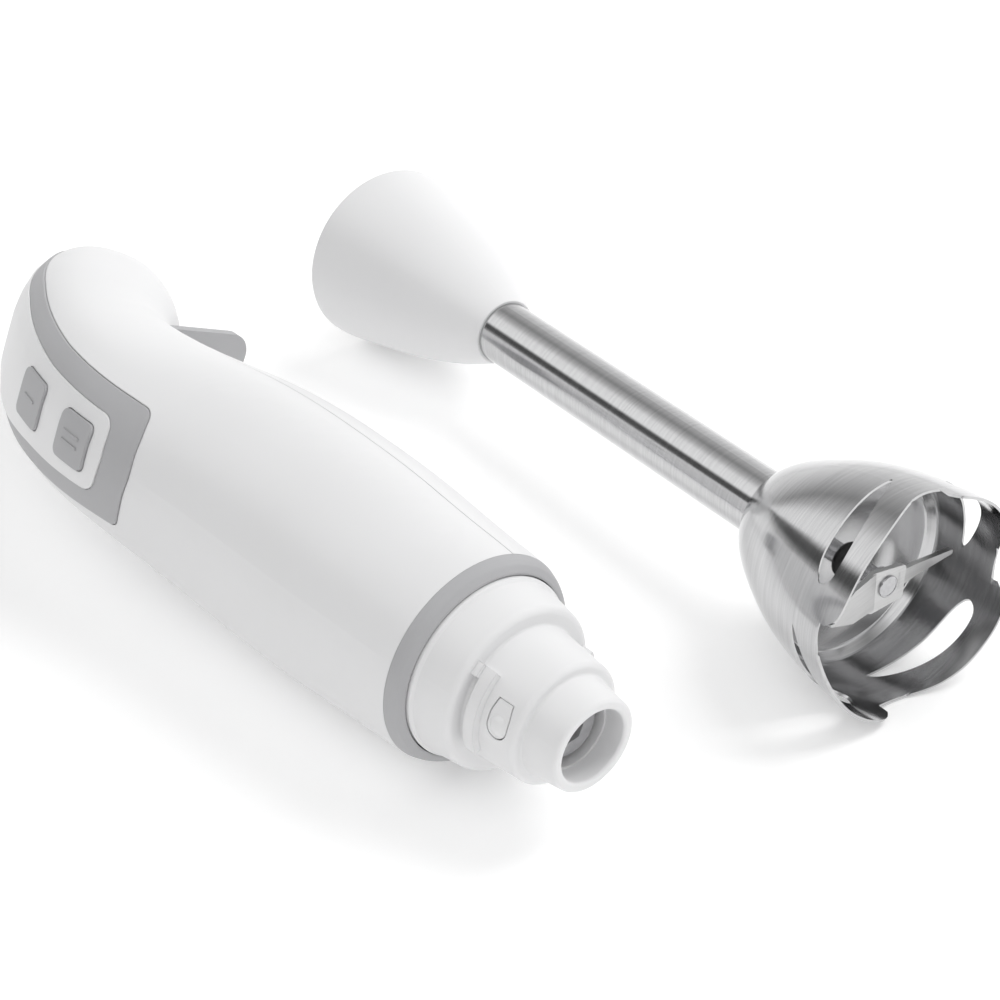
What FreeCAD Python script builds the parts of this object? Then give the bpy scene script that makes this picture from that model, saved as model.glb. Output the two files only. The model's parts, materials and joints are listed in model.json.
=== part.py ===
import FreeCAD, Part
import math
import os
from FreeCAD import Vector

# Immersion blender, taken apart and laid out on a table: the motor handle on its side and the
# blending leg beside it. Millimetres, +Z up. Each assembly is drawn in its own frame and then laid down:
#   handle frame: x along the motor axis towards the coupling (0 at the end ring's front face),
#                 y across the handle, z out of the button side
#   leg frame:    x along the drive shaft towards the blade (0 where the collar ends on the tube),
#                 y across, z up

# ---- driving dimensions of the handle ----
HANDLE_LENGTH = 217.0        # ring face to the far end of the head
BARREL_R = 31.0              # grip at its thickest
CASING_WALL = 2.5
SEAM = 0.1                   # half of the gap between the two casing halves
RING_BACK = -1.5              # where the trim ring meets the casing
RING_FRONT = 2.6
RING_R = 27.8                # where it meets the casing; it rounds off to its front
RING_LIP = 2.9               # what the rounding takes off
BOSS_BACK = -7.9             # inner end of the coupling boss
BOSS_FIT = 0.3               # play of the boss in the ring and in the casing
PANEL_DEPTH = 1.6            # panel pieces let into the casing
FRAME_PROUD = 0.35
INSERT_PROUD = 0.7
FRAME_END = -98.6            # coupling-side end of the grey frame
FRAME_HALVES = (16.2, 16.9, 18.6)    # its half widths near that end, at the buttons and at the head
INSERT_END = -108.5
INSERT_HALVES = (10.4, 11.2, 14.2)
PANEL_GAP = 0.15
BUTTON_PROUD = 1.5
BUTTON_SIDE = 13.0
BUTTON_CORNER = 2.0
BUTTON_GAP = 0.25
BUTTON_TRAVEL = 1.2
RIB_PROUD = 0.3               # finger ribs on the buttons
# name: centre along the handle, length, tilt of the press direction in degrees, bars on top
BUTTONS = {"speed_1_button": (-144.8, 15.0, 15.0, 1), "speed_2_button": (-120.0, 12.6, 3.0, 2)}
HOOK_X = -163.9              # hanging tab, middle of its thickness
HOOK_THICK = 3.0
HOOK_HALF_WIDTH = 15.0
HOOK_TIP = 52.0
HOOK_FOOT_HALF = 12.5
HOOK_FOOT_Z = (-16.8, -18.5)
SWITCH_DEPTH = 10.4          # top of a switch below the casing surface, along the press direction
BOARD_TILT = 9.0
BOARD_CENTRE = Vector(-131.5, 0, 20.5)
CLAMP_X = -193.0             # cord clamp inside the head
CLAMP_Y = 6.5
INLET = Vector(-207.0, 0, -36.0)
INLET_OUT = Vector(-0.81, 0, -0.586)

# ---- coupling boss ----
ROOT_R = 24.1
DRUM_1_R = 21.9              # at its front shoulder
DRUM_1_X = 14.4
DRUM_2_R = 17.6              # at its root; it tapers to 16.2
DRUM_2_X = 30.6
NOSE_R = 13.5                # at its root; it tapers to 12.2
NOSE_X = 40.4
SOCKET_R = 9.6               # bore in the nose, round the drive dog
SOCKET_DEPTH = 6.4
LUG_R = 19.0
LUG_X = (16.5, 20.0)
LUG_ANGLES = (-42.0, 17.0)   # from the button side towards +y
LATCH_X = (22.1, 27.7)
LATCH_HALF = 4.6             # root and the start of its round end, each side of the middle
LATCH_GAP = 0.3              # clearance round the latch tongue

# ---- motor ----
SHAFT_R = 2.5
RUNNING_FIT = 0.03
BEARING_R = 5.5
STATOR_R = 22.0
ROTOR_R = 12.5
AIR_GAP = 0.7
STACK = (-62.0, -32.0)
COMMUTATOR_R = 9.0
DOG_R = 7.7
HEX_R = 3.0                  # corner radius of the hexagon drive

# ---- leg ----
COLLAR_LENGTH = 60.0
COLLAR_MOUTH_R = 26.7
COLLAR_WALL = 1.8
COLLAR_SHAPE = [(0.0, 9.7), (-5.5, 12.4), (-15.5, 16.5), (-30.0, 20.9), (-45.0, 24.2), (-55.0, 26.2)]
TUBE_R = 9.0
TUBE_WALL = 0.8
TUBE_END = 116.0             # where the tube enters the bell
BELL_R = 31.0                # at the tips of its rim
BELL_WALL = 0.7
BELL_END = 171.0
TOOTH_START = 3.0            # the first notch and slot point, from the top towards +y
CEILING_X = 143.0            # inner disc that closes the bell's crown
BLADE_X = 156.2
BLADE_THICK = 1.4
SEAT_FIT = 0.35              # play of the boss in the leg's socket

# ---- how the two assemblies lie ----
HANDLE_ROLL = 24.3           # buttons face sideways and this much up
HANDLE_TILT = 1.4            # it leans on the grip and on a corner of the hanging tab
LEG_NECK = (-113.0, 106.5)   # leg's x = 0 point, seen from above, from the handle's own
LEG_YAW = -4.46
LEG_TILT = 1.08              # collar rim and bell rim both touch the table
FLATNESS = 0.05              # how closely the resting height is found

# Handle casing stations: front point (x, z), back point (x, z), half width, squareness of the front
CASING = [
    (RING_BACK, RING_R, RING_BACK, -RING_R, RING_R, 2.0),
    (-8, 28.3, -8, -28.3, 28.3, 2.0),
    (-20, 29.0, -20, -29.0, 29.0, 2.0),
    (-38, 30.4, -38, -30.4, 30.4, 2.0),
    (-58, 31.0, -58, -31.0, 31.0, 2.0),
    (-76, 31.6, -76, -30.9, 30.9, 2.0),
    (-92, 32.9, -92, -30.2, 30.0, 2.0),
    (-106, 35.0, -107, -28.8, 28.4, 2.1),
    (-118, 36.2, -121, -27.0, 26.6, 2.3),
    (-131, 35.2, -135, -24.6, 25.2, 2.55),
    (-146, 31.8, -147, -22.8, 24.4, 2.7),
    (-160, 27.0, -154, -23.0, 24.2, 2.7),
    (-175, 19.6, -160, -25.2, 24.4, 2.7),
    (-189, 10.6, -166, -30.0, 25.0, 2.7),
    (-201, 0.8, -171, -35.5, 25.1, 2.7),
    (-210.5, -10.0, -178, -40.2, 24.2, 2.7),
    (-215.6, -19.5, -187, -43.0, 21.0, 2.6),
    (-217.0, -27.5, -196, -43.6, 15.5, 2.5),
    (-215.4, -33.5, -203.5, -42.0, 9.0, 2.3),
    (-212.6, -36.6, -208.2, -39.8, 3.5, 2.0),
]
BARREL_STATIONS = (2, 10)    # these follow BARREL_R; the head keeps its own shape
INNER_STATIONS = 18          # the cavity stops short of the head's tip

NODES = {}
BODIES = {}
TOUCHING = ["rear_cover", "main_housing", "rear_hook", "end_ring", "collar", "bell_guard"]


def ring_points(station, offset):
    """One closed cross-section, grown outwards by the offset, as points for a smooth curve."""
    front_x, front_z, back_x, back_z, half, square = station
    grow = 1 + 2 * offset / math.hypot(front_x - back_x, front_z - back_z)
    mid = Vector((front_x + back_x) / 2, 0, (front_z + back_z) / 2)
    reach = Vector((front_x - back_x) / 2, 0, (front_z - back_z) / 2) * grow
    across = Vector(0, half + offset, 0)
    points = []
    count = 24
    for i in range(count):
        angle = 2 * math.pi * i / count
        c = math.cos(angle)
        s = math.sin(angle)
        power = 2 / (square if c > 0 else 2.0)
        along = math.copysign(abs(c) ** power, c)
        side = math.copysign(abs(s) ** power, s)
        points.append(mid + reach * along + across * side)
    return points


def closed_curve(points):
    curve = Part.BSplineCurve()
    curve.interpolate(Points=points, PeriodicFlag=True)
    return Part.Wire(curve.toShape())


def scaled_station(index):
    """Stations of the grip follow its thickness, the head's follow the handle's length."""
    front_x, front_z, back_x, back_z, half, square = CASING[index]
    thick = BARREL_R / 31.0
    first, last = BARREL_STATIONS
    if not first <= index < last:
        thick = 1.0
    long = HANDLE_LENGTH / 217.0
    if index == 0:
        long = 1.0
    return (front_x * long, front_z * thick, back_x * long, back_z * thick, half * thick, square)


def casing(offset, count=len(CASING)):
    """The handle's outer body, or a grown or shrunk copy of it, kept for the next use."""
    key = (round(offset, 3), count)
    if key not in BODIES:
        wires = [closed_curve(ring_points(scaled_station(i), offset)) for i in range(count)]
        BODIES[key] = Part.makeLoft(wires, True, False)
    return BODIES[key]


def cyl(radius, x0, x1):
    return Part.makeCylinder(radius, x1 - x0, Vector(x0, 0, 0), Vector(1, 0, 0))


def tube(outer, inner, x0, x1):
    return cyl(outer, x0, x1).cut(cyl(inner, x0 - 1, x1 + 1))


def block(x0, x1, y0, y1, z0, z1):
    return Part.makeBox(x1 - x0, y1 - y0, z1 - z0, Vector(x0, y0, z0))


def outline(points):
    """Closed wire through 2-D points; a point with a third value gets a corner arc of that radius."""
    corners = []
    count = len(points)
    for i, point in enumerate(points):
        here = Vector(point[0], point[1], 0)
        if len(point) < 3:
            corners.append((here, here, here))
            continue
        before = Vector(*points[i - 1][:2], 0) - here
        after = Vector(*points[(i + 1) % count][:2], 0) - here
        before.normalize()
        after.normalize()
        half = math.acos(max(-1, min(1, before.dot(after)))) / 2
        back = point[2] / math.tan(half)
        middle = before + after
        middle.normalize()
        mid = here + middle * (point[2] / math.sin(half) - point[2])
        corners.append((here + before * back, mid, here + after * back))
    edges = []
    for i, (start, mid, end) in enumerate(corners):
        if (start - end).Length > 1e-6:
            edges.append(Part.Arc(start, mid, end).toShape())
        following = corners[(i + 1) % count][0]
        if (following - end).Length > 1e-6:
            edges.append(Part.makeLine(end, following))
    return Part.Wire(edges)


def revolve(points):
    """Solid of revolution about x from a closed outline of (x, radius) points."""
    face = Part.Face(outline(points))
    face.rotate(Vector(0, 0, 0), Vector(1, 0, 0), 90)
    return face.revolve(Vector(0, 0, 0), Vector(1, 0, 0), 360)


def revolve_curve(points, ends):
    """Solid of revolution whose outside is a smooth curve; the ends close it."""
    curve = Part.BSplineCurve()
    curve.interpolate([Vector(x, 0, r) for x, r in points])
    stops = [Vector(x, 0, r) for x, r in [points[-1]] + ends + [points[0]]]
    edges = [curve.toShape()]
    for start, end in zip(stops, stops[1:]):
        edges.append(Part.makeLine(start, end))
    return Part.Face(Part.Wire(edges)).revolve(Vector(0, 0, 0), Vector(1, 0, 0), 360)


def inset(points, wall):
    """Points moved inwards, square to the curve they lie on."""
    moved = []
    for i, (x, r) in enumerate(points):
        ahead = points[min(i + 1, len(points) - 1)]
        behind = points[max(i - 1, 0)]
        dx = ahead[0] - behind[0]
        dr = ahead[1] - behind[1]
        length = math.hypot(dx, dr)
        moved.append((x + wall * dr / length, r - wall * dx / length))
    return moved


def prism(points, z0, z1):
    """Outline in the x, y plane pushed along z."""
    face = Part.Face(outline(points))
    face.translate(Vector(0, 0, z0))
    return face.extrude(Vector(0, 0, z1 - z0))


def side_prism(points, half):
    """Outline in the x, z plane pushed both ways along y."""
    face = Part.Face(outline(points))
    face.rotate(Vector(0, 0, 0), Vector(1, 0, 0), 90)
    face.translate(Vector(0, half, 0))
    return face.extrude(Vector(0, -2 * half, 0))


def sector(inner, outer, x0, x1, angle0, angle1):
    """Block between two radii and two angles; angles go from the z axis towards y."""
    face = Part.Face(outline([(x0, inner), (x1, inner), (x1, outer), (x0, outer)]))
    face.rotate(Vector(0, 0, 0), Vector(1, 0, 0), 90)
    face.rotate(Vector(0, 0, 0), Vector(-1, 0, 0), angle0)
    return face.revolve(Vector(0, 0, 0), Vector(-1, 0, 0), angle1 - angle0)


def mirrored_pair(shape):
    """The shape and its twin half a turn round the motor axis."""
    twin = shape.copy()
    twin.rotate(Vector(0, 0, 0), Vector(1, 0, 0), 180)
    return Part.makeCompound([shape, twin])


def spring(radius, wire, length, turns):
    """Coil spring standing on the x, y plane, made as a swept helix."""
    path = Part.makeLongHelix(length / turns, length, radius)
    ring = Part.Wire(Part.makeCircle(wire / 2, Vector(radius, 0, 0), Vector(0, 1, 0)))
    return Part.Wire(path).makePipeShell([ring], True, True)


# ---- casing and panel ----

def front_region():
    """Everything on the button side of a slanting line, where the panel lies."""
    return side_prism([(-90, 6), (-226, -20.5), (-260, 60), (-90, 60)], 40)


def panel_shape(end, halves, corner, bow):
    """Long panel outline: bowed end, sides that widen towards the head."""
    near, middle, far = halves
    points = [(end, 0, near), (end - bow, near * 0.6, near), (end - bow * 2.4, near, corner)]
    points += [(-142, middle), (-180, far), (-240, far)]
    other = [(p[0], -p[1]) + tuple(p[2:]) for p in reversed(points[1:])]
    return points + other


def panel_zone(end, halves, corner, gap, bow=1.6):
    grown = tuple(h + gap for h in halves)
    return prism(panel_shape(end + gap, grown, corner, bow), -60, 60).common(front_region())


def insert_zone(gap):
    limit = side_prism([(-90, 12), (-230, -15.5 - gap), (-260, 60), (-90, 60)], 40)
    return panel_zone(INSERT_END, INSERT_HALVES, 4.5, gap, 0.8).common(limit)


def button_axis(name):
    """Point on the casing and the outward direction of one button."""
    centre, _, tilt, _ = BUTTONS[name]
    line = Part.makeLine(Vector(centre, 0, 0), Vector(centre, 0, 60))
    height = casing(0).common(line).BoundBox.ZMax
    lean = math.radians(tilt)
    return Vector(centre, 0, height), Vector(-math.sin(lean), 0, math.cos(lean))


def button_block(name, gap):
    """Straight block along the press direction with the button's rounded outline."""
    centre, length, tilt, _ = BUTTONS[name]
    point, _ = button_axis(name)
    x = length / 2 + gap
    y = BUTTON_SIDE / 2 + gap
    corner = BUTTON_CORNER + gap
    solid = prism([(-x, -y, corner), (x, -y, corner), (x, y, corner), (-x, y, corner)], -12, 6)
    solid.rotate(Vector(0, 0, 0), Vector(0, 1, 0), -tilt)
    solid.translate(point)
    return solid


def button(name):
    """Cap with finger bars, a flange under the casing that keeps it in, and a stem."""
    _, length, tilt, bars = BUTTONS[name]
    point, _ = button_axis(name)
    flange = button_block(name, 1.0).common(casing(-CASING_WALL - 0.3))
    flange = flange.cut(casing(-CASING_WALL - 1.6))
    cap = button_block(name, 0).common(casing(BUTTON_PROUD)).cut(casing(-CASING_WALL - 1.6))
    stem = Part.makeCylinder(2.0, 5.2, Vector(0, 0, -SWITCH_DEPTH + 0.9 + BUTTON_TRAVEL + 0.1), Vector(0, 0, 1))
    raised = casing(BUTTON_PROUD + RIB_PROUD).cut(casing(BUTTON_PROUD - 0.5))
    parts = [stem]
    for i in range(bars):
        shift = (i - (bars - 1) / 2) * 2.6
        parts.append(block(-3.4, 3.4, shift - 0.35, shift + 0.35, -4, 6))
    for part in parts:
        part.rotate(Vector(0, 0, 0), Vector(0, 1, 0), -tilt)
        part.translate(point)
    ribs = [bar.common(raised) for bar in parts[1:]]
    return cap.fuse([flange, stem] + ribs).removeSplitter()


def screw_places():
    """Casing screws: x, y and the height of the seam there; each is driven from the back."""
    return [(-101.0, 17.5, -0.2), (-101.0, -17.5, -0.2), (-129.0, 14.5, -8.0), (-129.0, -14.5, -8.0)]


def screw_post(x, y, radius, z0, z1):
    return Part.makeCylinder(radius, z1 - z0, Vector(x, y, z0), Vector(0, 0, 1))


def cover_region(gap):
    """Where the rear cover is: behind the motor axis, ending where the neck curls back."""
    return side_prism([(20, gap), (-122, gap, 45), (-170, -46 + gap), (-170, -90), (20, -90)], 60)


def casing_shells():
    """Main housing with the head, and the rear cover that closes the back of the grip."""
    cavity = casing(-CASING_WALL, INNER_STATIONS)
    hollow = casing(0).cut(cavity)
    recess = casing(3).cut(casing(-PANEL_DEPTH))
    recess = recess.common(panel_zone(FRAME_END, FRAME_HALVES, 4.0, PANEL_GAP))
    hollow = hollow.cut(recess)
    for name in BUTTONS:
        hollow = hollow.cut(button_block(name, BUTTON_GAP))
    housing = hollow.cut(cover_region(SEAM))
    cover = hollow.common(cover_region(-SEAM))
    inside = casing(-CASING_WALL + 0.5, INNER_STATIONS)
    for x, y, seam in screw_places():
        front_post = screw_post(x, y, 3.6, -40, 60).common(inside).cut(cover_region(SEAM))
        rear_post = screw_post(x, y, 4.3, -60, 20).common(inside).common(cover_region(-SEAM))
        housing = housing.fuse(front_post).cut(screw_post(x, y, 1.3, seam - 12, seam + 12))
        cover = cover.fuse(rear_post).cut(screw_post(x, y, 1.7, -60, seam + 3))
        cover = cover.cut(screw_post(x, y, 3.1, -60, seam - 6))
    for y in (-CLAMP_Y, CLAMP_Y):
        post = screw_post(CLAMP_X, y, 2.4, -60, -34).common(inside)
        housing = housing.fuse(post).cut(screw_post(CLAMP_X, y, 0.9, -40, 0))
    housing = housing.cut(hook_blade(PANEL_GAP)).cut(inlet_hole())
    NODES["main_housing"] = housing.removeSplitter()
    NODES["rear_cover"] = cover.removeSplitter()


def panel_pieces():
    """Grey frame and white insert, both let into the casing and standing slightly proud."""
    band = casing(FRAME_PROUD).cut(casing(-PANEL_DEPTH + 0.05))
    frame = band.common(panel_zone(FRAME_END, FRAME_HALVES, 4.0, 0)).cut(insert_zone(0.1))
    plate = casing(INSERT_PROUD).cut(casing(-PANEL_DEPTH + 0.05)).common(insert_zone(0))
    for name in BUTTONS:
        plate = plate.cut(button_block(name, BUTTON_GAP))
    NODES["panel_frame"] = frame.removeSplitter()
    NODES["panel_insert"] = plate.removeSplitter()


def hook_blade(gap):
    half = HOOK_THICK / 2 + gap
    face = [(-16.0, -HOOK_HALF_WIDTH - gap), (-16.0, HOOK_HALF_WIDTH + gap),
            (-HOOK_TIP - gap, HOOK_HALF_WIDTH - 1 + gap, 6.5), (-HOOK_TIP - gap, 1 - HOOK_HALF_WIDTH - gap, 6.5)]
    solid = prism(face, -half, half)
    solid.rotate(Vector(0, 0, 0), Vector(0, 1, 0), -90)
    solid.translate(Vector(HOOK_X, 0, 0))
    return solid


def rear_hook():
    """Grey tab behind the head, held by a wider foot inside the housing."""
    top, bottom = HOOK_FOOT_Z
    reach = HOOK_THICK / 2 + 2.5
    tab = hook_blade(0).cut(block(-180, -150, -20, 20, bottom, 0))
    foot = block(HOOK_X - reach, HOOK_X + reach, -HOOK_FOOT_HALF, HOOK_FOOT_HALF, bottom, top)
    foot = foot.common(casing(-CASING_WALL - SEAM, INNER_STATIONS))
    NODES["rear_hook"] = tab.fuse(foot).removeSplitter()


def inlet_hole():
    return Part.makeCylinder(4.6, 30, INLET - INLET_OUT * 10, INLET_OUT)


def cord_parts():
    """Rubber bush that the mains cord comes in through, and the bar that clamps the cord."""
    sleeve = Part.makeCylinder(4.5, 14, INLET - INLET_OUT * 4, INLET_OUT)
    collar = Part.makeCylinder(6.2, 12.5, INLET - INLET_OUT * 2.5, INLET_OUT).cut(casing(0.05))
    flange = Part.makeCylinder(6.4, 2.0, INLET - INLET_OUT * 4, INLET_OUT)
    flange = flange.common(casing(-CASING_WALL - SEAM, INNER_STATIONS))
    bore = Part.makeCylinder(3.2, 60, INLET - INLET_OUT * 20, INLET_OUT)
    bush = sleeve.fuse([collar, flange]).cut(bore)
    NODES["cord_inlet_bush"] = bush.removeSplitter()
    bar = block(CLAMP_X - 3, CLAMP_X + 3, -9.5, 9.5, -34, -31)
    bar = bar.cut(Part.makeCylinder(3.2, 20, Vector(CLAMP_X - 10, 0, -34.6), Vector(1, 0, 0)))
    screws = []
    for y in (-CLAMP_Y, CLAMP_Y):
        bar = bar.cut(screw_post(CLAMP_X, y, 1.3, -36, -20))
        head = screw_post(CLAMP_X, y, 2.2, -31, -29.6)
        screws.append(head.fuse(screw_post(CLAMP_X, y, 0.9, -38.5, -31)))
    NODES["cord_clamp"] = bar
    NODES["cord_clamp_screws"] = Part.makeCompound(screws)


def housing_screws():
    screws = []
    for x, y, seam in screw_places():
        screw = screw_post(x, y, 1.3, seam - 6, seam + 9).fuse(screw_post(x, y, 2.9, seam - 8.2, seam - 6))
        slot = block(x - 0.5, x + 0.5, y - 2, y + 2, seam - 9, seam - 7.4)
        screws.append(screw.cut(slot))
    NODES["housing_screws"] = Part.makeCompound(screws)


# ---- switches ----

def on_board(shape):
    shape.rotate(Vector(0, 0, 0), Vector(0, 1, 0), -BOARD_TILT)
    shape.translate(BOARD_CENTRE)
    return shape


def switches():
    """Circuit board below the panel, with one plunger switch under each button."""
    board = on_board(block(-19, 20, -10, 10, -1.6, 0))
    above = on_board(block(-30, 30, -12, 12, 0, 30))
    bodies = []
    for name in BUTTONS:
        point, _ = button_axis(name)
        tilt = BUTTONS[name][2]
        body = block(-4.5, 4.5, -4.5, 4.5, -30, -SWITCH_DEPTH)
        plunger = Part.makeCylinder(1.2, 0.9, Vector(0, 0, -SWITCH_DEPTH), Vector(0, 0, 1))
        unit = body.fuse(plunger)
        unit.rotate(Vector(0, 0, 0), Vector(0, 1, 0), -tilt)
        unit.translate(point)
        bodies.append(unit.common(above))
    NODES["circuit_board"] = board
    NODES["speed_switches"] = Part.makeCompound(bodies)


def button_springs():
    """Return springs between each button's flange and its switch."""
    for name in BUTTONS:
        point, _ = button_axis(name)
        tilt = BUTTONS[name][2]
        low = SWITCH_DEPTH - 0.35
        coil = spring(3.1, 0.5, 4.2, 3.5)
        coil.translate(Vector(0, 0, -low))
        coil.rotate(Vector(0, 0, 0), Vector(0, 1, 0), -tilt)
        coil.translate(point)
        NODES[name.replace("button", "spring")] = coil


# ---- coupling end ----

def end_ring():
    """Grey trim ring between the casing and the boss."""
    bore = ROOT_R + BOSS_FIT
    shoulder = RING_FRONT - 1.1
    front = RING_R - RING_LIP
    NODES["end_ring"] = revolve([(RING_BACK, RING_R), (shoulder - 1.2, RING_R - 0.6, 2.0),
                                 (shoulder, RING_R - 1.3, 1.2), (RING_FRONT, front, 0.4),
                                 (RING_FRONT, bore), (RING_BACK, bore)])


def boss_outer():
    """Stepped, tapered outside of the coupling boss, with soft shoulders."""
    flange = RING_R - CASING_WALL - BOSS_FIT
    rim = RING_FRONT + 0.8
    return [(BOSS_BACK, flange), (RING_BACK - 0.1, flange), (RING_BACK - 0.1, ROOT_R), (rim, ROOT_R, 0.3),
            (rim + 0.7, ROOT_R - 0.7, 0.3), (DRUM_1_X, DRUM_1_R, 1.9), (DRUM_1_X + 0.1, DRUM_2_R, 0.6),
            (DRUM_2_X, DRUM_2_R - 1.4, 1.5), (DRUM_2_X + 0.1, NOSE_R, 0.6), (NOSE_X, NOSE_R - 1.3, 1.0)]


def boss_inner():
    step = NOSE_X - SOCKET_DEPTH
    return [(NOSE_X, SOCKET_R, 0.8), (step, SOCKET_R), (step, SOCKET_R - 0.5), (24.0, SOCKET_R - 0.5),
            (24.0, 13.2), (11.8, 13.6), (11.8, DRUM_1_R - 2.6), (BOSS_BACK, ROOT_R - 2.5)]


def latch_solid(clearance):
    """Tongue of the latch: root across the drum, rounded free end, drawn flat and pushed outwards."""
    x0 = LATCH_X[0] - clearance
    x1 = LATCH_X[1] + clearance
    half = (x1 - x0) / 2
    root = LATCH_HALF + clearance / 2
    tip = -LATCH_HALF - clearance
    points = [(x0 + 0.8, root), (x0, 1.0, 8), (x0, tip, half - 0.01), (x1, tip, half - 0.01), (x1, 1.0, 8),
              (x1 - 0.8, root)]
    solid = prism(points, 8, 30)
    solid.rotate(Vector(0, 0, 0), Vector(1, 0, 0), 2.0)
    return solid


def drum_2_skin(inner, grow):
    return revolve([(14, inner), (34, inner - 1.0), (34, DRUM_2_R - 1.75 + grow), (14, DRUM_2_R + grow)])


def lug():
    """Bayonet bar in front of the first drum, tied to it by a stop at one end."""
    bar = sector(14.5, LUG_R, LUG_X[0], LUG_X[1], LUG_ANGLES[0], LUG_ANGLES[1] + 2)
    stop = sector(14.5, LUG_R + 0.9, 12.5, LUG_X[1], LUG_ANGLES[1], LUG_ANGLES[1] + 10)
    cut = sector(LUG_R, 30, LUG_X[0] - 0.2, LUG_X[1] + 1, LUG_ANGLES[1] - 1, LUG_ANGLES[1] + 30)
    return bar.fuse(stop.cut(cut))


def coupling_boss():
    """White bayonet spigot that carries the leg, hollow, with its latch window."""
    body = revolve(boss_outer() + boss_inner())
    first = lug()
    second = first.copy()
    second.rotate(Vector(0, 0, 0), Vector(1, 0, 0), 180)
    body = body.fuse([first, second])
    body = body.cut(latch_solid(LATCH_GAP).common(cyl(24, 14, 34)))
    NODES["coupling_boss"] = body.removeSplitter()


def latch_tongue():
    """Springy tongue with a rounded bump that clicks into the leg."""
    tongue = latch_solid(0).common(drum_2_skin(14.1, 0))
    bump = Part.makeSphere(3.4, Vector((LATCH_X[0] + LATCH_X[1]) / 2, 0, 14.2))
    bump.rotate(Vector(0, 0, 0), Vector(1, 0, 0), 7)
    tongue = tongue.fuse(bump.common(latch_solid(0)).cut(cyl(14.3, 10, 40)))
    NODES["latch_tongue"] = tongue.removeSplitter()


# ---- motor ----

def bearing(x0, x1):
    return tube(BEARING_R, SHAFT_R + RUNNING_FIT, x0, x1)


def stator():
    """Laminated field core with two poles, and its two wound coils."""
    core = tube(STATOR_R, STATOR_R - 4.5, *STACK)
    bore = ROTOR_R + AIR_GAP
    pole = sector(bore, STATOR_R - 4.0, STACK[0], STACK[1], -55, 55)
    other = sector(bore, STATOR_R - 4.0, STACK[0], STACK[1], 125, 235)
    NODES["stator_core"] = core.fuse([pole, other]).removeSplitter()
    coil = sector(bore + 0.3, STATOR_R - 4.7, STACK[0] - 5, STACK[1] + 4, -80, 80)
    coil = coil.cut(sector(bore - 1, STATOR_R, STACK[0] - 0.3, STACK[1] + 0.3, -57, 57))
    NODES["field_coils"] = mirrored_pair(coil)


def armature():
    """Rotor: slotted core, windings, commutator, fan and the drive dog on one shaft."""
    NODES["motor_shaft"] = cyl(SHAFT_R, -96, 26)
    core = tube(ROTOR_R, SHAFT_R, *STACK)
    wire = tube(ROTOR_R - 0.8, SHAFT_R, STACK[0] - 7, STACK[0] - 0.1)
    wire = wire.fuse(tube(ROTOR_R - 0.8, SHAFT_R, STACK[1] + 0.1, STACK[1] + 5.5))
    winding = [wire]
    for i in range(12):
        slot = sector(6.5, ROTOR_R - 1.2, STACK[0] - 1, STACK[1] + 1, -9, 9)
        mouth = sector(ROTOR_R - 1.3, ROTOR_R + 1, STACK[0] - 1, STACK[1] + 1, -3, 3)
        bar = sector(6.7, ROTOR_R - 1.4, STACK[0] - 0.5, STACK[1] + 0.5, -8.4, 8.4)
        for piece in (slot, mouth, bar):
            piece.rotate(Vector(0, 0, 0), Vector(1, 0, 0), 30 * i)
        core = core.cut(slot).cut(mouth)
        winding.append(bar)
    NODES["armature_core"] = core
    NODES["armature_winding"] = wire.fuse(winding[1:]).removeSplitter()
    commutator = tube(COMMUTATOR_R, SHAFT_R, -81, -71)
    for i in range(24):
        groove = sector(COMMUTATOR_R - 0.8, COMMUTATOR_R + 1, -82, -73, -0.9, 0.9)
        groove.rotate(Vector(0, 0, 0), Vector(1, 0, 0), 15 * i)
        commutator = commutator.cut(groove)
    NODES["commutator"] = commutator
    fan = tube(5.5, SHAFT_R, -24, -17).fuse(tube(18.5, SHAFT_R, -18.2, -17))
    for i in range(12):
        blade = block(-23.5, -17.5, -0.5, 0.5, 5, 18)
        blade.rotate(Vector(0, 0, 0), Vector(1, 0, 0), 30 * i)
        fan = fan.fuse(blade)
    NODES["cooling_fan"] = fan.removeSplitter()
    dog = revolve([(18, SHAFT_R), (33.2, SHAFT_R), (33.2, DOG_R, 1.8), (18, DOG_R, 0.8)])
    dog = dog.cut(hexagon(HEX_R + 0.25, 26.0, 40))
    NODES["drive_dog"] = dog


def hexagon(radius, x0, x1):
    points = [(radius * math.sin(math.pi * i / 3), radius * math.cos(math.pi * i / 3)) for i in range(6)]
    solid = prism(points, 0, x1 - x0)
    solid.rotate(Vector(0, 0, 0), Vector(0, 1, 0), 90)
    solid.translate(Vector(x0, 0, 0))
    return solid


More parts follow.
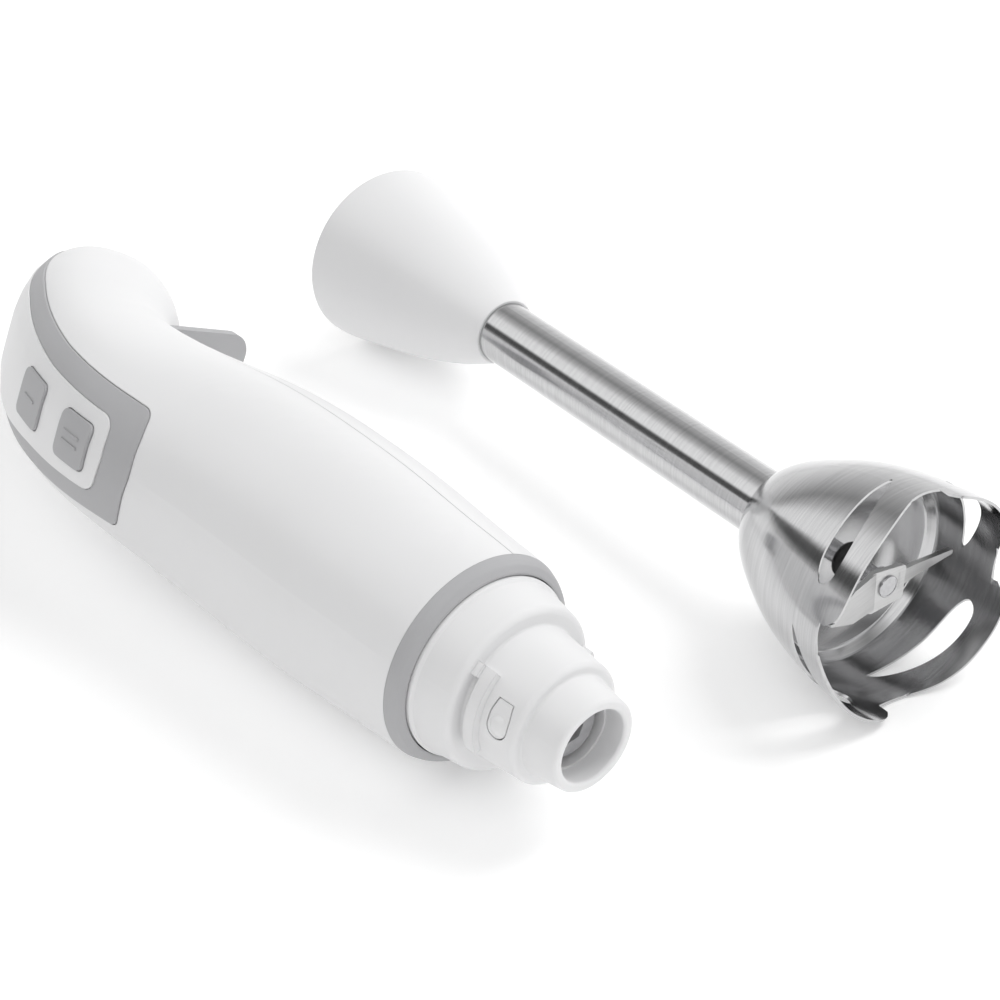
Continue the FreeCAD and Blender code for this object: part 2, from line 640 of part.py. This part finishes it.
def motor_frame():
    """Bearing brackets, bearings, brushes and the rubber rings that hold the motor."""
    bar = block(-13, -9, -STATOR_R, STATOR_R, -7, 7)
    legs = block(STACK[1] + 0.05, -9, -STATOR_R, STATOR_R, -7, 7).cut(cyl(STATOR_R - 2.4, -60, -13))
    hub = cyl(8, -14, -6)
    front = bar.fuse([legs, hub]).common(cyl(STATOR_R, -60, 0)).cut(cyl(BEARING_R, -20, 0))
    NODES["front_bracket"] = front.removeSplitter()
    NODES["front_bearing"] = bearing(-14, -6)
    plate = cyl(STATOR_R, -92, -89)
    for angle in (45, 135, 225, 315):
        vent = cyl(4.5, -95, -85)
        vent.translate(Vector(0, 14.5 * math.cos(math.radians(angle)), 14.5 * math.sin(math.radians(angle))))
        plate = plate.cut(vent)
    arms = block(-90, STACK[0] - 0.05, -STATOR_R, STATOR_R, -8, 8).cut(cyl(17.5, -89, -50))
    rear = plate.fuse([arms, cyl(8, -95, -87)]).common(cyl(STATOR_R, -96, -50))
    rear = rear.cut(cyl(BEARING_R, -100, -80))
    rear = rear.cut(block(-79, -71, -30, 30, -3.5, 3.5))
    NODES["rear_bracket"] = rear.removeSplitter()
    NODES["rear_bearing"] = bearing(-95, -87)
    holder = block(-79, -71, 11, STATOR_R - 0.3, -3.5, 3.5)
    holder = holder.cut(block(-78.2, -71.8, 10, STATOR_R - 1.5, -2.7, 2.7))
    NODES["brush_holders"] = mirrored_pair(holder)
    brush = block(-78.1, -71.9, COMMUTATOR_R - 1, 16.5, -2.6, 2.6).cut(cyl(COMMUTATOR_R + 0.2, -90, -60))
    NODES["carbon_brushes"] = mirrored_pair(brush)
    coil = spring(1.9, 0.5, 3.2, 3)
    coil.rotate(Vector(0, 0, 0), Vector(1, 0, 0), -90)
    coil.translate(Vector(-75, 16.85, 0))
    NODES["brush_springs"] = mirrored_pair(coil)
    cavity = casing(-CASING_WALL - 0.1, INNER_STATIONS)
    rings = []
    for x0, x1 in ((-50, -44), (-91.5, -87.5)):
        ring = cyl(40, x0, x1).common(cavity).cut(cyl(STATOR_R + 0.05, -100, 0))
        rings.append(ring)
    NODES["motor_mounts"] = Part.makeCompound(rings)


# ---- leg ----

def collar():
    """White bell-shaped collar that shrouds the joint, open towards the handle."""
    outer = COLLAR_SHAPE + [(-COLLAR_LENGTH, COLLAR_MOUTH_R)]
    inner = [(x + COLLAR_WALL * 0.35, r - COLLAR_WALL) for x, r in outer[2:]]
    body = revolve_curve(outer, [(-COLLAR_LENGTH, 0.0), (0.0, 0.0)])
    hollow = revolve_curve(inner, [(-COLLAR_LENGTH - 5, inner[-1][1]), (-COLLAR_LENGTH - 5, 0), (inner[0][0], 0)])
    NODES["collar"] = body.cut(hollow).cut(cyl(TUBE_R, -30, 5))


def collar_socket():
    """Socket fixed in the collar: bored for the boss, with two tabs that go behind its lugs."""
    seat = 60.0
    nose = DRUM_2_X - seat
    drum = DRUM_2_R + SEAT_FIT
    lugs = LUG_R + 0.9 + SEAT_FIT
    outer = [(-17.5, 14.6), (-30.5, 18.7), (-38.0, 20.6), (-45.0, 22.2)]
    body = revolve(outer + [(-45.0, lugs), (LUG_X[1] - seat - 0.4, lugs), (LUG_X[1] - seat - 0.4, drum),
                            (nose - 1.0, drum), (nose - 1.0, drum - 1.0), (nose + 0.8, drum - 1.0),
                            (nose + 0.8, NOSE_R + SEAT_FIT), (NOSE_X - seat + 0.6, NOSE_R + SEAT_FIT),
                            (NOSE_X - seat + 0.6, 8.2), (-17.5, 8.2)])
    tab = sector(DRUM_2_R + 0.45, lugs + 0.4, -45.2, -44.2, 40, 95)
    other = sector(DRUM_2_R + 0.45, lugs + 0.4, -45.2, -44.2, 220, 275)
    NODES["collar_socket"] = body.fuse([tab, other]).removeSplitter()


def leg_tube():
    NODES["leg_tube"] = tube(TUBE_R, TUBE_R - TUBE_WALL, -17.4, TUBE_END + 1.5)


def bell_profile():
    flare = [(12.6, -26.0), (16.4, -22.0), (20.8, -14.4), (25.1, -4.6), (28.4, 7.2), (30.2, 19.5)]
    points = [(TUBE_END - 0.6, TUBE_R + 0.1)]
    points += [(CEILING_X + x, r * BELL_R / 31.0) for r, x in flare]
    return points + [(BELL_END + 2, BELL_R)]


def rim_cutter():
    """What is cut from the bell's lip: four teeth, each a slow ramp, a flat and a quick drop."""
    tooth = [(-9, 5.8), (6, 5.8), (14, 4.4), (24, 2.6), (38, 1.0), (52, 0.3), (68, 0.1),
             (75, 1.0), (79, 3.2), (83, 5.4), (88, 5.8), (97, 5.8)]
    radius = BELL_R - 0.4
    top = [Vector(BELL_END - back, radius * math.sin(math.radians(45 - angle)), 0) for angle, back in tooth]
    curve = Part.BSplineCurve()
    curve.interpolate(top)
    first = Vector(BELL_END + 30, top[0].y, 0)
    last = Vector(BELL_END + 30, top[-1].y, 0)
    wire = Part.Wire([curve.toShape(), Part.makeLine(top[-1], last), Part.makeLine(last, first),
                      Part.makeLine(first, top[0])])
    return Part.Face(wire).extrude(Vector(0, 0, 60))


def slot_cutter():
    """Teardrop slot: pointed at one end, round at the other, following the bell's curve."""
    upper = [(0, 16.4), (12, 16.1), (27, 15.2), (40, 14.3), (52, 13.5), (61, 12.1)]
    lower = [(66, 9.8), (63, 7.6), (58, 7.0), (48, 7.2), (36, 8.3), (21, 10.8), (9, 13.4), (2, 15.4)]
    middle = 33.0
    radius = BELL_R * 0.945
    points = [Vector(BELL_END - back, radius * math.sin(math.radians(middle - angle)), 0)
              for angle, back in upper + lower]
    curve = Part.BSplineCurve()
    curve.interpolate(points + [points[0]])
    solid = Part.Face(Part.Wire(curve.toShape())).extrude(Vector(0, 0, 60))
    solid.translate(Vector(0, 0, 12))
    return solid


def bell_hollow(wall):
    """Solid that fills the bell, up to a wall's thickness inside its outer surface."""
    inner = inset(bell_profile(), wall)
    far = inner[-1][0] + 5
    return revolve_curve(inner, [(far, inner[-1][1]), (far, 0), (inner[0][0], 0)])


def bell_guard():
    """Steel bell round the blade, with a toothed lip and four curved slots."""
    outer = bell_profile()
    body = revolve_curve(outer, [(outer[-1][0], 0), (outer[0][0], 0)])
    body = body.cut(bell_hollow(BELL_WALL)).cut(cyl(TUBE_R, 90, TUBE_END + 12))
    for i in range(4):
        teeth = rim_cutter()
        teeth.rotate(Vector(0, 0, 0), Vector(1, 0, 0), -(TOOTH_START - 45 - 90 * i))
        slot = slot_cutter()
        slot.rotate(Vector(0, 0, 0), Vector(1, 0, 0), -(TOOTH_START - 33 - 90 * i))
        body = body.cut(teeth).cut(slot)
    NODES["bell_guard"] = body


def ceiling_disc():
    """Pressed disc that closes the bell's crown, with a short lip along the wall."""
    wall = 28.0 * BELL_R / 31.0 - BELL_WALL
    profile = [(CEILING_X - 0.4, 5.0), (CEILING_X + 0.5, 5.0), (CEILING_X + 2.4, wall - 2.8, 1.2),
               (CEILING_X + 4.6, wall - 1.0), (CEILING_X + 4.6, wall + 2), (CEILING_X + 1.5, wall + 2),
               (CEILING_X + 1.5, wall - 2.1, 1.0)]
    NODES["bell_inner_disc"] = revolve(profile).common(bell_hollow(BELL_WALL + 0.05))


def leg_bearings():
    """Plain bushes that carry the drive shaft, their housing and the rubber seal."""
    bore = SHAFT_R + RUNNING_FIT
    NODES["upper_bush"] = tube(TUBE_R - TUBE_WALL, bore, -16, -6)
    NODES["bush_housing"] = tube(6.2, 4.2, 100, CEILING_X - 0.5).fuse(
        tube(TUBE_R - TUBE_WALL, 4.2, 96, 106)).removeSplitter()
    NODES["lower_bush"] = tube(4.2, bore, CEILING_X - 14, CEILING_X - 2)
    seal = revolve([(CEILING_X - 1.9, SHAFT_R + 0.05), (CEILING_X + 1.6, SHAFT_R + 0.05),
                    (CEILING_X + 1.6, 4.4, 0.7), (CEILING_X + 0.6, 4.9), (CEILING_X - 0.3, 4.9),
                    (CEILING_X - 0.3, 4.15), (CEILING_X - 1.9, 4.15)])
    NODES["shaft_seal"] = seal


def spindle():
    """Drive shaft with the hexagon coupler at one end and the blade at the other."""
    NODES["drive_shaft"] = cyl(SHAFT_R, -21, BLADE_X + BLADE_THICK + 0.5)
    body = revolve([(-24, 0), (-17.8, 0), (-17.8, 5.4, 0.8), (-24, 5.4, 1.2)])
    body = body.fuse(hexagon(HEX_R, -30, -23.5)).cut(cyl(SHAFT_R, -21, 0))
    NODES["driven_coupler"] = body.removeSplitter()
    NODES["blade"] = blade()
    nut = revolve([(BLADE_X + BLADE_THICK, SHAFT_R), (BLADE_X + BLADE_THICK + 0.6, SHAFT_R),
                   (BLADE_X + BLADE_THICK + 0.6, 3.0, 0.3), (BLADE_X + BLADE_THICK, 3.0)])
    NODES["blade_ring"] = nut
    NODES["blade_spacer"] = tube(3.6, SHAFT_R, BLADE_X - 2.2, BLADE_X)


def wing(points, bend):
    """One wing of the blade, drawn along +y and bent about the root."""
    face = Part.Face(outline(points))
    solid = face.extrude(Vector(0, 0, BLADE_THICK))
    solid.rotate(Vector(0, 0, 0), Vector(0, 1, 0), 90)
    solid.translate(Vector(0, -4.2, 0))
    solid.rotate(Vector(0, 0, 0), Vector(0, 0, 1), bend)
    solid.translate(Vector(BLADE_X, 4.2, 0))
    return solid


def blade():
    """Two-wing chopping blade: a slender wing one way and a broad one the other."""
    plate = Part.Face(outline([(-6.0, -6.5, 2), (6.5, -6.5, 2), (5.6, 5.6, 1.5), (-4.0, 6.2, 1.5)]))
    hub = plate.extrude(Vector(0, 0, BLADE_THICK))
    hub.rotate(Vector(0, 0, 0), Vector(0, 1, 0), 90)
    hub.translate(Vector(BLADE_X, 0, 0))
    slender = wing([(-2.6, 3.6), (2.2, 3.6), (1.4, 10.0), (0.9, 23.6, 0.4), (-0.3, 23.6, 0.4), (-2.2, 10.0)], 4)
    broad = wing([(-5.4, 4.2), (5.4, 4.2), (4.6, 13.0), (1.0, 22.4, 0.5), (-1.0, 22.4, 0.5), (-5.0, 13.0)], -11)
    broad.rotate(Vector(0, 0, 0), Vector(1, 0, 0), 180)
    return hub.fuse([slender, broad]).cut(cyl(SHAFT_R, 100, 200)).removeSplitter()


# ---- laying the two assemblies down ----

LEG_NODES = ["collar", "collar_socket", "leg_tube", "bell_guard", "bell_inner_disc", "upper_bush",
             "bush_housing", "lower_bush", "shaft_seal", "drive_shaft", "driven_coupler", "blade",
             "blade_ring", "blade_spacer"]


def lowest(shapes):
    return min(p.z for shape in shapes for p in shape.tessellate(FLATNESS)[0])


def lay(names, turns, place):
    """Turn one assembly, put it at its place and let its lowest point touch the table."""
    shapes = [NODES[name] for name in names]
    for shape in shapes:
        for axis, angle in turns:
            shape.rotate(Vector(0, 0, 0), axis, angle)
    drop = lowest([NODES[name] for name in names if name in TOUCHING])
    for shape in shapes:
        shape.translate(Vector(place[0], place[1], -drop))


def build():
    casing_shells()
    panel_pieces()
    for name in BUTTONS:
        NODES[name] = button(name)
    rear_hook()
    cord_parts()
    housing_screws()
    switches()
    button_springs()
    end_ring()
    coupling_boss()
    latch_tongue()
    stator()
    armature()
    motor_frame()
    collar()
    collar_socket()
    leg_tube()
    bell_guard()
    ceiling_disc()
    leg_bearings()
    spindle()
    handle = [name for name in NODES if name not in LEG_NODES]
    along_y = Vector(0, 1, 0)
    lay(handle, [(Vector(1, 0, 0), 90 - HANDLE_ROLL), (along_y, HANDLE_TILT)], (0, 0))
    lay(LEG_NODES, [(along_y, -LEG_TILT), (Vector(0, 0, 1), LEG_YAW)], LEG_NECK)


def centre_on_table():
    """Put the origin under the middle of everything."""
    points = [p for name in TOUCHING + ["coupling_boss", "cord_inlet_bush", "panel_frame", "panel_insert"]
              for p in NODES[name].tessellate(FLATNESS)[0]]
    x = [p.x for p in points]
    y = [p.y for p in points]
    for shape in NODES.values():
        shape.translate(Vector(-(min(x) + max(x)) / 2, -(min(y) + max(y)) / 2, 0))


build()
centre_on_table()
os.makedirs("parts", exist_ok=True)
for node, shape in NODES.items():
    shape.exportStep("parts/" + node + ".step")
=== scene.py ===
import json
import math

import bmesh
import bpy
from mathutils import Matrix, Vector

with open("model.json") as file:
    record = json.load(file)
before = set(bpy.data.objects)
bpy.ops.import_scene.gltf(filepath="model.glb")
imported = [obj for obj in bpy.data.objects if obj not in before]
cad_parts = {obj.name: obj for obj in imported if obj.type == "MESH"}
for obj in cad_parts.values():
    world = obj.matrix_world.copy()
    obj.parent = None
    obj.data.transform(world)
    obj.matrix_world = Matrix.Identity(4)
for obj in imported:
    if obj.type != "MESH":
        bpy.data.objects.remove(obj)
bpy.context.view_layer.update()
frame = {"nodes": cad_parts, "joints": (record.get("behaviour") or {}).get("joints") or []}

MM = 0.001

# ---------------------------------------------------------------------------------------------
# The table and how the blender lies on it. The motor handle lies on its side, buttons towards
# the viewer, and the blending leg lies beside it with its bell towards the handle's coupling.
# The leg has axes of its own: x along its shaft, y across it and z up.
# ---------------------------------------------------------------------------------------------

joints = {joint["name"]: joint for joint in frame["joints"]}


def unit(values):
    return Vector(values).normalized()


handle_at = Vector(joints["motor_spin"]["pos_m"])
leg_at = Vector(joints["blade_spin"]["pos_m"])
leg_x = unit(joints["blade_spin"]["axis"])
leg_y = Vector((0, 0, 1)).cross(leg_x).normalized()
leg_z = leg_x.cross(leg_y)


def placing(at, x, y, z):
    """Matrix that takes a piece from an assembly's own axes to where it lies."""
    turn = Matrix((x, y, z)).transposed().to_4x4()
    return Matrix.Translation(at) @ turn


leg_place = placing(leg_at, leg_x, leg_y, leg_z)

scene = bpy.context.scene
camera_data = bpy.data.cameras.new("camera")
camera_data.lens = 94.1
camera_data.sensor_width = 36.0
camera_data.clip_start = 0.01
camera = bpy.data.objects.new("camera", camera_data)
scene.collection.objects.link(camera)
camera.location = handle_at + Vector((0.3728, -0.3165, 0.3806))
looking = unit((-0.6237, 0.5407, -0.5645))
camera.rotation_euler = looking.to_track_quat("-Z", "Y").to_euler()
scene.camera = camera
scene.view_settings.view_transform = "Standard"


class Wire:
    """A socket of a material's node tree; sums and products of wires become Math nodes."""

    def __init__(self, tree, socket):
        self.tree = tree
        self.socket = socket

    def maths(self, operation, other):
        node = self.tree.nodes.new("ShaderNodeMath")
        node.operation = operation
        for plug, value in zip(node.inputs, (self, other)):
            if isinstance(value, Wire):
                self.tree.links.new(value.socket, plug)
            else:
                plug.default_value = value
        return Wire(self.tree, node.outputs[0])

    def __add__(self, other):
        return self.maths("ADD", other)

    def __mul__(self, other):
        return self.maths("MULTIPLY", other)

    __radd__ = __add__


class Shading:
    """A node tree under construction, for a material or for the studio's surroundings."""

    def __init__(self, tree):
        self.tree = tree

    def node(self, kind, settings=None, output=0, **sockets):
        """Adds a node; socket names are given with _ for a space, and settings are set first."""
        node = self.tree.nodes.new("ShaderNode" + kind)
        for name, value in (settings or {}).items():
            if name == "stops":
                ramp = node.color_ramp
                while len(ramp.elements) < len(value):
                    ramp.elements.new(0.5)
                for element, (place, shade) in zip(ramp.elements, value):
                    element.position = place
                    element.color = (shade, shade, shade, 1) if isinstance(shade, float) else (*shade, 1)
            else:
                setattr(node, name, value)
        for name, value in sockets.items():
            title = name.replace("_", " ")
            plug = next(s for s in node.inputs if s.enabled and s.name == title)
            if isinstance(value, Wire):
                self.tree.links.new(value.socket, plug)
            else:
                plug.default_value = value
        return Wire(self.tree, [s for s in node.outputs if s.enabled][output])


class Finish(Shading):
    """One material: a surface shader whose fixed values are named when it is made."""

    def __init__(self, name, **fixed):
        self.material = bpy.data.materials.new(name)
        self.material.use_nodes = True
        super().__init__(self.material.node_tree)
        self.shader = self.tree.nodes["Principled BSDF"]
        for socket, value in fixed.items():
            self.shader.inputs[socket.replace("_", " ")].default_value = value

    def feed(self, socket, wire):
        self.tree.links.new(wire.socket, self.shader.inputs[socket.replace("_", " ")])

    def bump(self, height, strength, distance, edge=None):
        """Surface relief; edge is the radius to which the piece's sharp edges look broken."""
        rounded = {"Normal": self.node("Bevel", {"samples": 6}, Radius=edge)} if edge else {}
        self.feed("Normal", self.node("Bump", Strength=strength, Distance=distance, Height=height, **rounded))

    def own_axes(self, place=None):
        """Object coordinates in metres, or measured in an assembly's own axes."""
        here = Wire(self.tree, self.tree.nodes.new("ShaderNodeTexCoord").outputs["Object"])
        if place is None:
            return here
        return self.node("Mapping", {"vector_type": "TEXTURE"}, Vector=here,
                         Location=place.to_translation(), Rotation=place.to_euler())

    def coat(self, *names):
        """Puts the material on CAD nodes or on new pieces."""
        for name in names:
            piece = frame["nodes"].get(name) or bpy.data.objects[name]
            piece.data.materials.clear()
            piece.data.materials.append(self.material)


# ---------------------------------------------------------------------------------------------
# Studio: a seamless white table, and soft light from above. Strip lights and dark boards stand
# parallel to the leg, so the steel shows long light and dark bands; they are part of the
# surroundings, given by the direction round the leg's axis in degrees from straight up.
# ---------------------------------------------------------------------------------------------

floor_mesh = bpy.data.meshes.new("floor")
form = bmesh.new()
bmesh.ops.create_circle(form, cap_ends=True, segments=96, radius=4.0)
form.to_mesh(floor_mesh)
form.free()
floor = bpy.data.objects.new("floor", floor_mesh)
scene.collection.objects.link(floor)
table = Finish("table_white", Roughness=0.55)
table.shader.inputs["Specular IOR Level"].default_value = 0.25
cloudy = table.node("TexNoise", Vector=table.own_axes(), Scale=3.0, Detail=3.0)
table.feed("Base_Color", table.node("ValToRGB", {"stops": [(0.3, 0.90), (0.7, 0.92)]}, Fac=cloudy))
table.shader.inputs["Emission Color"].default_value = (1, 1, 1, 1)
table.shader.inputs["Emission Strength"].default_value = 0.20
table.coat("floor")

world = bpy.data.worlds.new("studio")
scene.world = world
world.use_nodes = True
studio = Shading(world.node_tree)
background = world.node_tree.nodes["Background"]
direction = Wire(world.node_tree, world.node_tree.nodes.new("ShaderNodeTexCoord").outputs["Generated"])


def along(axis):
    flat = studio.node("VectorMath", {"operation": "DOT_PRODUCT"}, Vector=direction)
    flat.socket.node.inputs[1].default_value = axis
    return Wire(flat.tree, flat.socket.node.outputs["Value"])


BANDS = [(-90, 0.55), (-75, 0.50), (-68, 0.10), (-54, 0.10), (-47, 1.25), (-18, 1.15), (-2, 0.68),
         (18, 0.36), (48, 0.70), (77, 1.00), (90, 1.10)]
BRIGHTEST = 1.5
round_leg = along(leg_y).maths("ARCTAN2", along(leg_z))
band = studio.node("MapRange", Value=round_leg, From_Min=-math.pi / 2, From_Max=math.pi / 2)
stops = [((angle + 90) / 180, level / BRIGHTEST) for angle, level in BANDS]
sky = studio.node("ValToRGB", {"stops": stops}, Fac=band)
world.node_tree.links.new(sky.socket, background.inputs["Color"])
background.inputs["Strength"].default_value = BRIGHTEST


def lamp(name, at, size, power, aim):
    data = bpy.data.lights.new(name, "AREA")
    data.shape = "SQUARE"
    data.size = size
    data.energy = power
    light = bpy.data.objects.new(name, data)
    light.location = at
    light.rotation_euler = (Vector(aim) - Vector(at)).to_track_quat("-Z", "Y").to_euler()
    light.visible_glossy = False
    scene.collection.objects.link(light)


lamp("key_light", (0.25, 0.75, 1.15), 0.8, 9.5, (0, 0, 0))
lamp("fill_light", (0.5, -0.9, 0.9), 0.9, 1.0, (0, 0, 0))

# ---------------------------------------------------------------------------------------------
# White mouldings: ABS, moulded with a very fine spark texture, so that it has a soft sheen.
# The main housing carries the head and the buttons; the rear cover closes the back of the grip.
# ---------------------------------------------------------------------------------------------

white = Finish("white_abs", Roughness=0.38)
white.shader.inputs["Specular IOR Level"].default_value = 0.45
here = white.own_axes()
tone = white.node("TexNoise", Vector=here, Scale=14.0, Detail=2.0)
whites = [(0.25, (0.74, 0.74, 0.745)), (0.75, (0.77, 0.77, 0.775))]
white.feed("Base_Color", white.node("ValToRGB", {"stops": whites}, Fac=tone))
grain = white.node("TexNoise", Vector=here, Scale=2600.0, Detail=2.0)
wear = white.node("TexNoise", Vector=here, Scale=60.0, Detail=3.0)
white.feed("Roughness", 0.33 + wear * 0.10)
white.bump(grain, 0.06, 0.00008, 0.4 * MM)
white.coat("main_housing", "rear_cover", "panel_insert", "coupling_boss", "latch_tongue", "collar")

# ---------------------------------------------------------------------------------------------
# Grey mouldings: the panel's frame, the two buttons, the trim ring and the hanging tab. They are
# coloured ABS with a coarser matt texture that the fingers grip.
# ---------------------------------------------------------------------------------------------

grey = Finish("grey_abs", Roughness=0.5)
here = grey.own_axes()
tone = grey.node("TexNoise", Vector=here, Scale=30.0, Detail=3.0)
greys = [(0.25, (0.40, 0.40, 0.41)), (0.75, (0.43, 0.43, 0.44))]
grey.feed("Base_Color", grey.node("ValToRGB", {"stops": greys}, Fac=tone))
grain = grey.node("TexNoise", Vector=here, Scale=1800.0, Detail=2.0)
grey.feed("Roughness", 0.45 + grain * 0.15)
grey.bump(grain, 0.12, 0.0001, 0.35 * MM)
grey.coat("panel_frame", "speed_1_button", "speed_2_button", "end_ring", "rear_hook")

# ---------------------------------------------------------------------------------------------
# Stainless steel. The tube and the bell are brushed round their axis, so the grain is rings;
# the bell's inner disc is turned, and the blade is ground flat.
# ---------------------------------------------------------------------------------------------


def ringed_steel(name, place, low, high, rings, depth):
    """Steel brushed round the x axis of its assembly."""
    steel = Finish(name, Metallic=1.0, Roughness=0.25)
    here = steel.own_axes(place)
    stretched = steel.node("Mapping", Vector=here, Scale=(rings, rings * 0.03, rings * 0.03))
    lines = steel.node("TexNoise", Vector=stretched, Scale=1.0, Detail=4.0, Roughness=0.6)
    broad = steel.node("Mapping", Vector=here, Scale=(rings * 0.12, rings * 0.02, rings * 0.02))
    patches = steel.node("TexNoise", Vector=broad, Scale=1.0, Detail=3.0)
    steel.feed("Base_Color", steel.node("ValToRGB", {"stops": [(0.3, low), (0.7, high)]}, Fac=lines))
    steel.feed("Roughness", 0.08 + patches * 0.07 + lines * 0.06)
    steel.bump(lines, 0.12, depth)
    return steel


tube_steel = ringed_steel("brushed_tube_steel", leg_place, (0.50, 0.50, 0.505), (0.60, 0.60, 0.605),
                          2600.0, 0.02 * MM)
tube_steel.coat("leg_tube")
bell_steel = ringed_steel("brushed_bell_steel", leg_place, (0.47, 0.47, 0.475), (0.57, 0.57, 0.575),
                          1800.0, 0.03 * MM)
bell_steel.coat("bell_guard", "bell_inner_disc")

blade_steel = Finish("ground_blade_steel", Metallic=1.0, Roughness=0.3)
here = blade_steel.own_axes(leg_place)
stretched = blade_steel.node("Mapping", Vector=here, Scale=(500.0, 60.0, 2400.0))
lines = blade_steel.node("TexNoise", Vector=stretched, Scale=1.0, Detail=3.0)
ground = [(0.3, (0.52, 0.52, 0.52)), (0.7, (0.60, 0.60, 0.60))]
blade_steel.feed("Base_Color", blade_steel.node("ValToRGB", {"stops": ground}, Fac=lines))
blade_steel.feed("Roughness", 0.26 + lines * 0.14)
blade_steel.bump(lines, 0.2, 0.00002)
blade_steel.coat("blade")

polished = Finish("polished_shaft_steel", Metallic=1.0, Roughness=0.12)
here = polished.own_axes()
marks = polished.node("TexNoise", Vector=here, Scale=900.0, Detail=3.0)
burnished = [(0.3, (0.45, 0.45, 0.46)), (0.7, (0.52, 0.52, 0.53))]
polished.feed("Base_Color", polished.node("ValToRGB", {"stops": burnished}, Fac=marks))
polished.feed("Roughness", 0.10 + marks * 0.10)
polished.coat("motor_shaft", "drive_shaft", "blade_ring", "blade_spacer")

# ---------------------------------------------------------------------------------------------
# Inner pieces: rubber seals and mounts, nylon bushes, fan and couplers, the circuit board, the
# motor's laminations, copper and brass, and the plated brackets and screws. None is painted.
# ---------------------------------------------------------------------------------------------


def plain(name, low, high, scale, roughness, metallic=0.0):
    """Finish for inner pieces: mottled colour, uneven roughness and a light bump."""
    finish = Finish(name, Metallic=metallic, Roughness=roughness)
    here = finish.own_axes()
    spots = finish.node("TexNoise", Vector=here, Scale=scale, Detail=4.0)
    finish.feed("Base_Color", finish.node("ValToRGB", {"stops": [(0.3, low), (0.7, high)]}, Fac=spots))
    finish.feed("Roughness", roughness - 0.05 + spots * 0.1)
    finish.bump(spots, 0.15, 0.06 * MM)
    return finish


plain("black_rubber", (0.012, 0.012, 0.012), (0.03, 0.03, 0.03), 700.0, 0.55).coat(
    "shaft_seal", "cord_inlet_bush", "motor_mounts")
plain("natural_nylon", (0.62, 0.62, 0.60), (0.70, 0.70, 0.68), 500.0, 0.42).coat(
    "collar_socket", "upper_bush", "cooling_fan", "cord_clamp")
plain("grey_nylon", (0.33, 0.33, 0.34), (0.40, 0.40, 0.41), 500.0, 0.4).coat(
    "drive_dog", "driven_coupler", "bush_housing")
plain("black_nylon", (0.02, 0.02, 0.02), (0.035, 0.035, 0.035), 500.0, 0.45).coat("speed_switches")
plain("circuit_laminate", (0.02, 0.13, 0.05), (0.03, 0.19, 0.07), 300.0, 0.35).coat("circuit_board")
plain("lamination_steel", (0.20, 0.20, 0.21), (0.30, 0.30, 0.31), 900.0, 0.45, 1.0).coat(
    "stator_core", "armature_core")
plain("enamelled_copper", (0.42, 0.15, 0.06), (0.58, 0.24, 0.10), 1200.0, 0.3, 1.0).coat(
    "field_coils", "armature_winding")
plain("zinc_plated_steel", (0.50, 0.50, 0.52), (0.62, 0.62, 0.64), 200.0, 0.35, 1.0).coat(
    "front_bracket", "rear_bracket", "housing_screws", "cord_clamp_screws")
plain("sintered_bronze", (0.36, 0.23, 0.11), (0.48, 0.32, 0.16), 1500.0, 0.5, 1.0).coat(
    "front_bearing", "rear_bearing", "lower_bush")
plain("drawn_brass", (0.62, 0.45, 0.18), (0.72, 0.54, 0.24), 300.0, 0.3, 1.0).coat("brush_holders")
plain("pressed_carbon", (0.03, 0.03, 0.03), (0.06, 0.06, 0.06), 1500.0, 0.6).coat("carbon_brushes")
plain("spring_steel", (0.40, 0.40, 0.41), (0.50, 0.50, 0.51), 800.0, 0.25, 1.0).coat(
    "brush_springs", "speed_1_spring", "speed_2_spring")
plain("commutator_copper", (0.60, 0.28, 0.14), (0.72, 0.38, 0.20), 600.0, 0.3, 1.0).coat("commutator")
